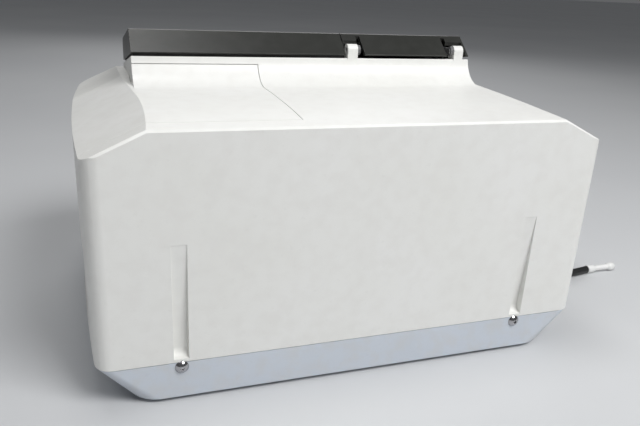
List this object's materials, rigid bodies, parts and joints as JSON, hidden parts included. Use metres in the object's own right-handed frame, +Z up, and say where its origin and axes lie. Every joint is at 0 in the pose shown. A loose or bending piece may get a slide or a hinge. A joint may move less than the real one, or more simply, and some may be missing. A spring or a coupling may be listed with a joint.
{
  "type": "thermal cycler",
  "caption": "Bench-top thermal cycler: chamfered white casing, sloping black control panel beside a rear-hinged heated lid over a well block, side vents and a mains lead.",
  "frame": {"origin": "on the bench, under the middle of the casing's box", "axes": "+X to the user's right along the width, +Y to the rear, +Z up"},
  "size_m": [0.6481, 0.3362, 0.2858],
  "materials": {
    "shell_white": "satin white moulded plastic",
    "base_grey": "satin cool light grey moulded plastic",
    "panel_black": "fine textured black plastic",
    "display_black": "glossy black",
    "display_glass": "dark polished glass over an unlit display",
    "rubber_black": "matt",
    "screw_chrome": "polished dark chrome",
    "steel": "plain sheet and bar",
    "block_aluminium": "machined and bead blasted",
    "sink_aluminium": "extruded",
    "module_white": null,
    "grille_grey": "satin dark grey",
    "inner_grey": "satin grey",
    "board_green": "solder mask",
    "fan_black": "satin black",
    "key_grey": "satin",
    "lead_black": "flexible vinyl, satin",
    "plug_white": "satin white"
  },
  "bodies": {
    "casing": {"base_pan": "base_grey", "rubber_feet": "rubber_black", "base_screws": "steel", "rear_housing": "shell_white", "rear_screws": "screw_chrome", "display_side_cover": "shell_white", "front_housing": "shell_white", "right_vent_grille": "grille_grey", "left_vent_grille": "grille_grey", "front_intake_grille": "grille_grey", "control_panel_shell": "panel_black", "panel_gasket": "rubber_black", "display_bezel": "display_black", "display_glass": "display_glass", "display_board": "board_green", "usb_port": "steel", "block_surround": "inner_grey", "sample_block": "block_aluminium", "block_gasket": "rubber_black", "peltier_modules": "module_white", "heat_sink": "sink_aluminium", "block_bracket": "steel", "cooling_fan_frame": "fan_black", "exhaust_fan_frame": "fan_black", "air_duct": "inner_grey", "chassis_plate": "steel", "power_supply": "steel", "main_board": "board_green", "mains_inlet": "fan_black", "switch_frame": "fan_black", "hinge_pins": "steel", "latch_catch": "steel", "lead_connector": "lead_black", "lead_strain_relief": "lead_black", "lead_run": "lead_black", "lead_coil": "lead_black", "coil_tie": "fan_black", "lead_tail": "lead_black", "lead_plug": "plug_white"},
    "lid": {"lid_cover": "panel_black", "lid_frame": "inner_grey", "lid_seal": "rubber_black", "plate_bolts": "steel", "plate_springs": "steel", "latch_pin": "steel"},
    "plate": {"heated_plate": "block_aluminium"},
    "latch": {"latch_handle": "key_grey"},
    "button": {"standby_button": "key_grey"},
    "rocker": {"switch_rocker": "key_grey"},
    "cooling_rotor": {"cooling_fan_rotor": "fan_black"},
    "exhaust_rotor": {"exhaust_fan_rotor": "fan_black"}
  },
  "joints": [
    {"name": "lid_hinge", "type": "hinge", "parent": "casing", "child": "lid", "pos_m": [-0.108, -0.015, 0.271], "axis": [-1, 0, 0], "range_deg": [0, 80]},
    {"name": "plate_float", "type": "slide", "parent": "lid", "child": "plate", "axis": [0, 0, 1], "range_m": [0, 0.003], "stiffness_N_per_m": 2000, "springref_m": -0.002, "deforming": ["plate_springs"]},
    {"name": "latch_pull", "type": "hinge", "parent": "lid", "child": "latch", "pos_m": [-0.108, -0.147, 0.252], "axis": [-1, 0, 0], "range_deg": [0, 15], "stiffness_Nm_per_rad": 0.3, "springref_deg": -11.46},
    {"name": "standby_press", "type": "slide", "parent": "casing", "child": "button", "axis": [0, 0.1736, -0.9848], "range_m": [0, 0.0015], "stiffness_N_per_m": 400, "springref_m": -0.0005},
    {"name": "power_rocker", "type": "hinge", "parent": "casing", "child": "rocker", "pos_m": [-0.223, 0.103, 0.074], "axis": [0, 1, 0], "range_deg": [-16, 0]},
    {"name": "cooling_fan_spin", "type": "hinge", "parent": "casing", "child": "cooling_rotor", "pos_m": [-0.108, -0.088, 0.115], "axis": [0, 0, 1], "continuous": true},
    {"name": "exhaust_fan_spin", "type": "hinge", "parent": "casing", "child": "exhaust_rotor", "pos_m": [0.2, 0.06, 0.092], "axis": [1, 0, 0], "continuous": true}
  ]
}
